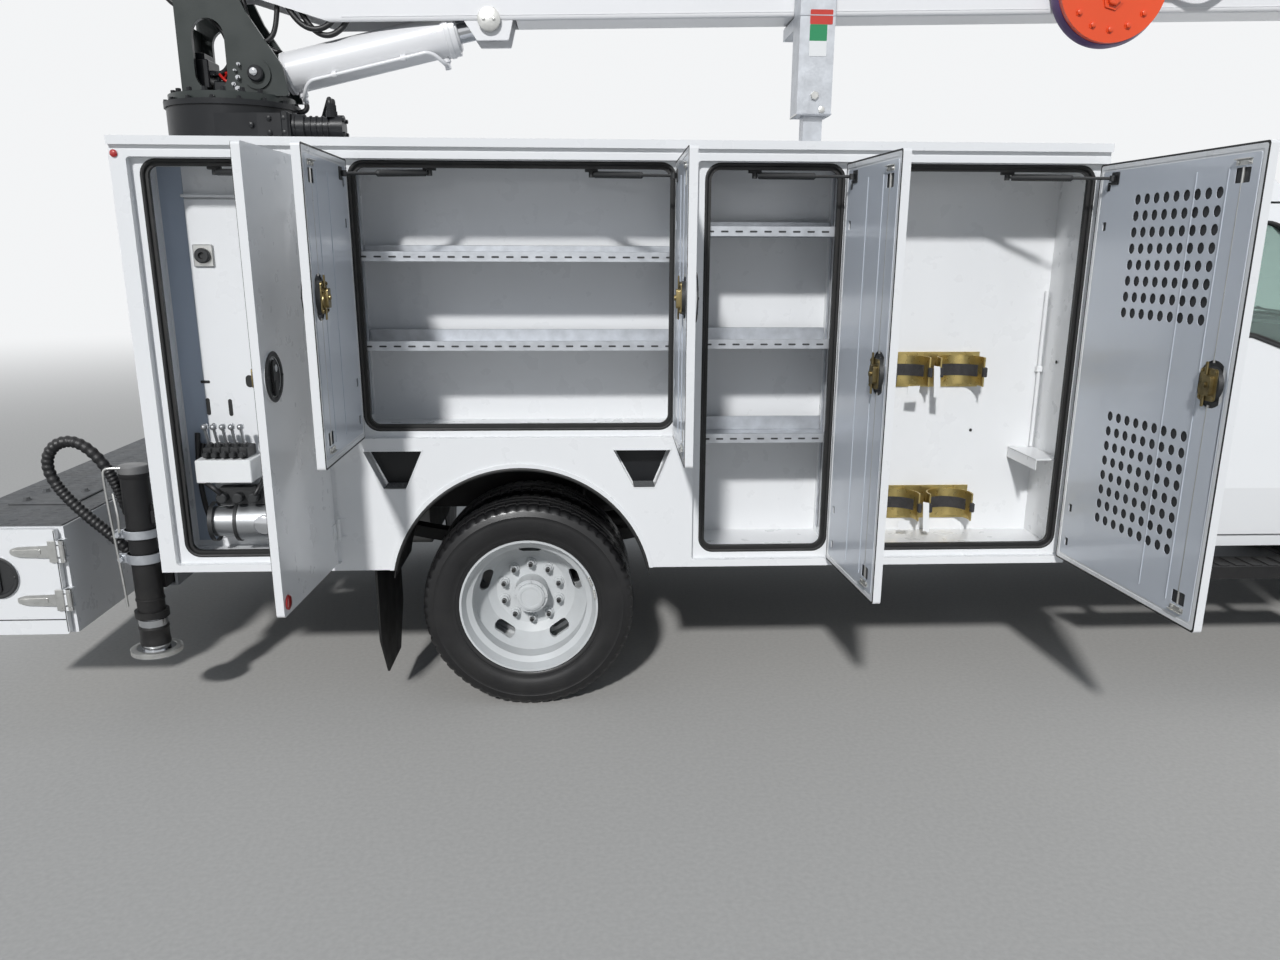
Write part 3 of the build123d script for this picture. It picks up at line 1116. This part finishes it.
with BuildPart() as seats:
    for side in (-1, 1):
        y = both(side, SEAT_Y)
        side_plate(ahead([(-1913, 1010), (-1413, 1010), (-1413, 1130), (-1913, 1150)]), y, 45)
        side_plate(ahead([(-2013, 1080), (-1873, 1080), (-1923, 1700), (-2013, 1700)]), y, 35)
        headrest = ahead([(-2003, 1690), (-1943, 1690), (-1943, 1850), (-1993, 1850)])
        side_plate(headrest, both(side, (275, 535)), 24)
        block((WHEELBASE - 1873, WHEELBASE - 1453), both(side, (200, 600)), (FLOOR_Z + RUN_GAP, 1030))
keep("seats", seats.part)

with BuildPart() as dashboard:
    side_plate(ahead([(-903.3, 1000), (-903.3, 1370), (-1013, 1390), (-1163, 1330), (-1113, 1080)]),
               (100 - CAB_HALF, CAB_HALF - 100), 15)
    bar_y(WHEELBASE - 993, 1200, (61.3 - CAB_HALF, CAB_HALF - 61.3), 20)
    bar((WHEELBASE - 1093, STEER_Y, 1200), (WHEELBASE - 1298, STEER_Y, 1292), 25)
    centre, axis = (WHEELBASE - 1293, STEER_Y, 1290), (-0.906, 0, 0.423)
    with BuildSketch(Plane(origin=centre, x_dir=(0, 1, 0), z_dir=(0.423, 0, 0.906))) as grip_section:
        with Locations((STEER_R, 0)):
            RegularPolygon(14, 8)
    revolve(grip_section.sketch, axis=Axis(centre, axis), revolution_arc=360)
    bar_y(centre[0], centre[2], (STEER_Y - STEER_R, STEER_Y + STEER_R), 10)
    bar(centre, (centre[0] - STEER_R * 0.423, STEER_Y, centre[2] - STEER_R * 0.906), 10)
keep("dashboard", dashboard.part)


# Front end: hood, fenders, grille, lamps and bumper
def across_section(x, points, arcs):
    """A section across the truck at a place from the front axle; arcs maps a corner to its arc's middle."""
    with BuildSketch(Plane(origin=(WHEELBASE + x, 0, 0), x_dir=(0, 1, 0), z_dir=(1, 0, 0))) as section:
        with BuildLine():
            for index, start in enumerate(points):
                end = points[(index + 1) % len(points)]
                if index in arcs:
                    ThreePointArc(start, arcs[index], end)
                else:
                    Line(start, end)
        make_face()
    return section.sketch


def hood_section(x, z):
    """The hood at one place: flat below, crowned above."""
    low = z - HOOD_T
    return across_section(x, [(-HOOD_HALF, low), (HOOD_HALF, low), (HOOD_HALF, z), (-HOOD_HALF, z)],
                          {2: (0, z + HOOD_CROWN)})


def fender_section(side, x, z):
    """A fender at one place: its top, the rounded shoulder and the side down to the rocker."""
    inner, outer, r, t = side * FENDER_Y[0], FENDER_Y[1], FENDER_ROUND, FENDER_T
    bend = r * (1 - sin(radians(45)))
    inner_bend = t + (r - t) * (1 - sin(radians(45)))
    points = [(inner, z), (side * (outer - r), z), (side * outer, z - r), (side * outer, FENDER_FOOT),
              (side * (outer - t), FENDER_FOOT), (side * (outer - t), z - r), (side * (outer - r), z - t),
              (inner, z - t)]
    return across_section(x, points, {1: (side * (outer - bend), z - bend),
                                      5: (side * (outer - inner_bend), z - inner_bend)})


with BuildPart() as hood:
    stations = ((-653, 1352), (7, 1322), (667, 1230))
    for first, last in zip(stations, stations[1:]):
        loft([hood_section(*first), hood_section(*last)], ruled=True)
    pivot_x, pivot_z = HOOD_PIVOT
    for side in (-1, 1):
        y = both(side, (HOOD_HINGE_Y - 20, HOOD_HINGE_Y + 20))
        bar_y(pivot_x, pivot_z, y, 12)
        block((pivot_x - 10, pivot_x + 10), y, (pivot_z, pivot_z + 25))
        bar_y(pivot_x, pivot_z, (y[0] - side, y[1] + side), PIN_R + RUN_GAP, Mode.SUBTRACT)
keep("hood", hood.part)

with BuildPart() as cab_grown:
    cab_volume(-DOOR_GAP)
with BuildPart() as front_fenders:
    for side in (-1, 1):
        for first, last in zip(FENDER_TOPS, FENDER_TOPS[1:]):
            loft([fender_section(side, *first), fender_section(side, *last)], ruled=True)
        bar_y(*HOOD_PIVOT, both(side, (HOOD_HINGE_Y - 25, FENDER_Y[0] + 14)), PIN_R)
        wall_y = both(side, (RAIL_OUT - 60, FENDER_Y[1] - 20))
        block((WHEELBASE + 642, WHEELBASE + 657), wall_y, (RAIL_Z[1], 1200))
        block((WHEELBASE - 701, WHEELBASE - 686), wall_y, (RAIL_Z[1], 1310))
        flare_y = both(side, (FENDER_Y[1] - 1, FENDER_Y[1] + FLARE_OUT))
        with BuildSketch(side_plane(max(flare_y))) as flare:
            with Locations((WHEELBASE, AXLE_Z)):
                Circle(FLARE_R[1])
                Circle(FLARE_R[0], mode=Mode.SUBTRACT)
            with Locations((WHEELBASE, FENDER_FOOT - 1000)):
                Rectangle(2000, 2000, mode=Mode.SUBTRACT)
        extrude(flare.sketch, amount=FLARE_OUT + 1)
        bar_y(WHEELBASE, AXLE_Z, both(side, (FENDER_Y[1] - 110, FENDER_Y[1] + 90)), FLARE_R[0], Mode.SUBTRACT)
    add(cab_grown.part, mode=Mode.SUBTRACT)
keep("front_fenders", front_fenders.part)

with BuildPart() as grille:
    grille_x = (WHEELBASE + 697, WHEELBASE + 737)
    end_plate(rectangle((-GRILLE_HALF, GRILLE_HALF), GRILLE_Z), grille_x, 30)
    end_plate(rectangle((45 - GRILLE_HALF, GRILLE_HALF - 45), (GRILLE_Z[0] + 45, GRILLE_Z[1] - 45)),
              (grille_x[0] - 1, grille_x[1] + 1), 24, Mode.SUBTRACT)
    for z in GRILLE_BARS:
        bar_face = rectangle((20 - GRILLE_HALF, GRILLE_HALF - 20), (z - 17, z + 17))
        end_plate(bar_face, (grille_x[0] + 6, grille_x[1] + 12), 8)
keep("grille", grille.part)

with BuildPart() as headlamps:
    for side in (-1, 1):
        outline = [(side * (GRILLE_HALF + LAMP_GAP), 905), (side * (FENDER_Y[1] - FENDER_T - LAMP_GAP), 925),
                   (side * (FENDER_Y[1] - FENDER_T - LAMP_GAP), 1135),
                   (side * (GRILLE_HALF + LAMP_GAP), 1150)]
        end_plate(outline, (WHEELBASE + 657 + LAMP_GAP, WHEELBASE + 752), 30)
keep("headlamps", headlamps.part)

with BuildPart() as front_bumper:
    nose, wide = BUMPER_NOSE, CAB_HALF
    plan_plate([(nose - 185.7, -wide), (nose - 86, -wide + 20), (nose, -700), (nose, 700),
                (nose - 86, wide - 20),
                (nose - 185.7, wide)], BUMPER_FRONT_Z)
    middle = sum(BUMPER_FRONT_Z) / 2
    end_plate(rectangle((-430, 430), (middle - 60, middle + 50)), (nose - 45, nose + 1), 25, Mode.SUBTRACT)
    for side in (-1, 1):
        bar((nose - 40, side * 580, middle), (nose + 1, side * 580, middle), 62, Mode.SUBTRACT)
        block((nose - 2, nose + 34), both(side, (300, 340)), (BUMPER_FRONT_Z[0] + 30, BUMPER_FRONT_Z[0] + 80))
keep("front_bumper", front_bumper.part)

with BuildPart() as engine:
    block((WHEELBASE - 653, WHEELBASE + 187), (-330, 330), (RAIL_Z[0] + 20, 1120))
    block((WHEELBASE - 553, WHEELBASE + 87), (-190, 190), (1119, 1220))
    mount = RAIL_OUT - RAIL_WALL - RUN_GAP
    block((WHEELBASE - 593, WHEELBASE - 513), (-mount, mount), (700, 760))
    pipe = [(WHEELBASE - 543, 250, 650), (WHEELBASE - 643, 250, 570), (WHEELBASE - 1143, 300, 570),
            (WHEELBASE - 1543, 600, 570), (MUFFLER_X[1] - 1, MUFFLER_Y, MUFFLER_Z)]
    tail = [(MUFFLER_X[0] + 1, MUFFLER_Y, MUFFLER_Z), (MUFFLER_X[0] - 300, MUFFLER_Y, 560),
            (MUFFLER_X[0] - 480, MUFFLER_Y + 50, 530)]
    for run in (pipe, tail):
        for start, end in zip(run, run[1:]):
            bar(start, end, PIPE_R)
            with Locations(start):
                Sphere(PIPE_R)
    bar((MUFFLER_X[0], MUFFLER_Y, MUFFLER_Z), (MUFFLER_X[1], MUFFLER_Y, MUFFLER_Z), MUFFLER_R)
keep("engine", engine.part)

with BuildPart() as fuel_tank:
    block((-1230, -480), (-330, 330), (420, RAIL_Z[0] + 30 - RUN_GAP))
    fillet(fuel_tank.edges().filter_by(Axis.X), 50)
    for x in (-1080, -630):
        block((x - 20, x + 20), (-336, 336), (414, RAIL_Z[0] + 20))
    fillet(fuel_tank.edges().filter_by(Axis.X).group_by(Axis.Z)[0], 40)
keep("fuel_tank", fuel_tank.part)

print("origin moved to", [round(value, 3) for value in ORIGIN])
